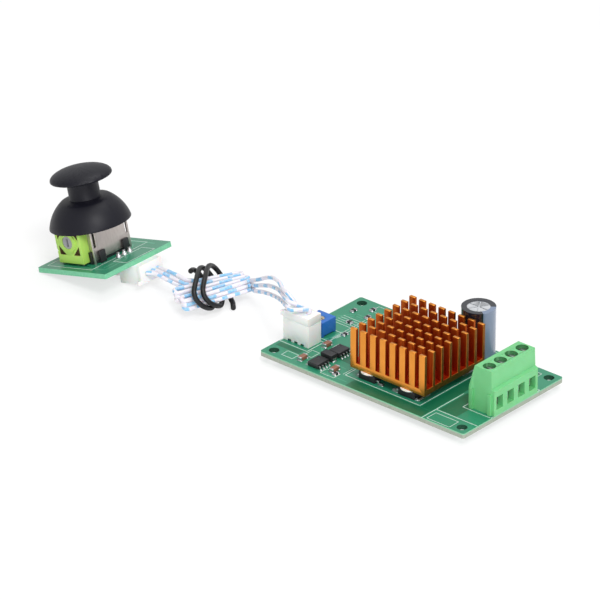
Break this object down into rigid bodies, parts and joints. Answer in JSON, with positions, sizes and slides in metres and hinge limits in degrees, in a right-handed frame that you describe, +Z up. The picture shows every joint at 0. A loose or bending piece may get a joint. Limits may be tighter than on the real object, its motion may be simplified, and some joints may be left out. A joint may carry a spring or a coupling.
{
  "type": "dc motor speed controller",
  "caption": "Motor driver board with pin heatsink and screw terminals, joined by a tied ribbon cable to a thumb joystick on its own board.",
  "frame": {"origin": "middle of the driver board's four mounting holes, on the board's underside", "axes": "+X along the driver board's long edge toward the screw terminals, +Y along its short edge toward the large capacitor, +Z up out of its component side"},
  "size_m": [0.1721, 0.0472, 0.0328],
  "materials": {
    "board": "green solder mask over glass-fibre laminate",
    "gold_aluminium": "gold anodised",
    "white_glue": "cured silicone glue",
    "epoxy": "moulded",
    "tinned": "tin plated",
    "ceramic_brown": "fired",
    "trimmer_blue": "moulded",
    "ivory_plastic": "moulded",
    "sleeve": "shrunk printed sleeve",
    "can": "drawn",
    "bung": "moulded",
    "terminal_green": "moulded",
    "steel": "zinc plated",
    "frame_steel": "folded sheet",
    "black_plastic": "moulded",
    "pot_green": "moulded",
    "track": "printed carbon on laminate",
    "grey_plastic": "moulded",
    "wire_white": "extruded vinyl",
    "tie_black": "vinyl over steel wire",
    "cap_black": "moulded soft-touch"
  },
  "bodies": {
    "boards": {"driver_board": "board", "heatsink": "gold_aluminium", "glue_dots": "white_glue", "power_transistors": "epoxy", "transistor_tabs": "tinned", "chip_bodies": "epoxy", "chip_leads": "tinned", "diode": "epoxy", "diode_ends": "tinned", "chip_capacitors": "ceramic_brown", "resistors": "epoxy", "end_caps": "tinned", "trimmer_case": "trimmer_blue", "trimmer_pins": "tinned", "capacitor_can": "can", "capacitor_sleeve": "sleeve", "capacitor_bung": "bung", "capacitor_leads": "tinned", "header_shroud": "ivory_plastic", "header_pins": "tinned", "driver_plug": "ivory_plastic", "driver_contacts": "tinned", "terminal_body": "terminal_green", "terminal_contacts": "tinned", "joystick_board": "board", "side_header": "ivory_plastic", "side_header_pins": "tinned", "joystick_plug": "ivory_plastic", "joystick_contacts": "tinned", "joystick_base": "black_plastic", "joystick_frame": "frame_steel", "pot_x_case": "pot_green", "pot_y_case": "pot_green", "pot_x_track": "track", "pot_y_track": "track", "joystick_pot_pins": "tinned", "return_spring": "steel", "spring_plate": "ivory_plastic", "ribbon_lead": "wire_white", "ribbon_hank": "wire_white", "wire_1": "wire_white", "wire_2": "wire_white", "wire_3": "wire_white", "twist_tie": "tie_black"},
    "trimmer_turn": {"trimmer_rotor": "ivory_plastic"},
    "screw_1": {"terminal_screw_1": "steel"},
    "clamp_1": {"terminal_clamp_1": "tinned"},
    "screw_2": {"terminal_screw_2": "steel"},
    "clamp_2": {"terminal_clamp_2": "tinned"},
    "screw_3": {"terminal_screw_3": "steel"},
    "clamp_3": {"terminal_clamp_3": "tinned"},
    "screw_4": {"terminal_screw_4": "steel"},
    "clamp_4": {"terminal_clamp_4": "tinned"},
    "lower_rocker": {"rocker_x": "ivory_plastic", "pot_x_hub": "grey_plastic"},
    "thumbstick": {"stick": "ivory_plastic", "stick_pin": "steel", "knob_cap": "cap_black"},
    "upper_rocker": {"rocker_y": "ivory_plastic", "pot_y_hub": "grey_plastic"}
  },
  "joints": [
    {"name": "trimmer_adjust", "type": "hinge", "parent": "boards", "child": "trimmer_turn", "pos_m": [-0.0333, -0.0026, 0.0057], "axis": [0, 0, 1], "range_deg": [-120, 120]},
    {"name": "screw_1_turn", "type": "hinge", "parent": "boards", "child": "screw_1", "pos_m": [0.0349, -0.0066, 0.0135], "axis": [0, 0, -1], "range_deg": [0, 1440]},
    {"name": "clamp_1_rise", "type": "slide", "parent": "boards", "child": "clamp_1", "axis": [0, 0, 1], "range_m": [0, 0.002]},
    {"name": "screw_2_turn", "type": "hinge", "parent": "boards", "child": "screw_2", "pos_m": [0.0349, -0.0016, 0.0135], "axis": [0, 0, -1], "range_deg": [0, 1440]},
    {"name": "clamp_2_rise", "type": "slide", "parent": "boards", "child": "clamp_2", "axis": [0, 0, 1], "range_m": [0, 0.002]},
    {"name": "screw_3_turn", "type": "hinge", "parent": "boards", "child": "screw_3", "pos_m": [0.0349, 0.0034, 0.0135], "axis": [0, 0, -1], "range_deg": [0, 1440]},
    {"name": "clamp_3_rise", "type": "slide", "parent": "boards", "child": "clamp_3", "axis": [0, 0, 1], "range_m": [0, 0.002]},
    {"name": "screw_4_turn", "type": "hinge", "parent": "boards", "child": "screw_4", "pos_m": [0.0349, 0.0084, 0.0135], "axis": [0, 0, -1], "range_deg": [0, 1440]},
    {"name": "clamp_4_rise", "type": "slide", "parent": "boards", "child": "clamp_4", "axis": [0, 0, 1], "range_m": [0, 0.002]},
    {"name": "stick_side_tilt", "type": "hinge", "parent": "boards", "child": "lower_rocker", "pos_m": [-0.11932, -0.0096, 0.00976], "axis": [0, 1, 0], "range_deg": [-18, 18], "stiffness_Nm_per_rad": 0.03},
    {"name": "stick_front_tilt", "type": "hinge", "parent": "lower_rocker", "child": "thumbstick", "pos_m": [-0.11932, -0.0096, 0.00976], "axis": [0.9696, 0, 0.2445], "range_deg": [-18, 18], "stiffness_Nm_per_rad": 0.03},
    {"name": "upper_rocker_tilt", "type": "hinge", "parent": "boards", "child": "upper_rocker", "pos_m": [-0.11932, -0.0096, 0.00976], "axis": [0.9696, 0, 0.2445], "range_deg": [-18, 18]}
  ],
  "couplings": [
    {"joint": "screw_1_turn", "follows": "clamp_1_rise", "rad_per_m": 12566},
    {"joint": "screw_2_turn", "follows": "clamp_2_rise", "rad_per_m": 12566},
    {"joint": "screw_3_turn", "follows": "clamp_3_rise", "rad_per_m": 12566},
    {"joint": "screw_4_turn", "follows": "clamp_4_rise", "rad_per_m": 12566},
    {"joint": "upper_rocker_tilt", "follows": "stick_front_tilt", "ratio": 1}
  ]
}
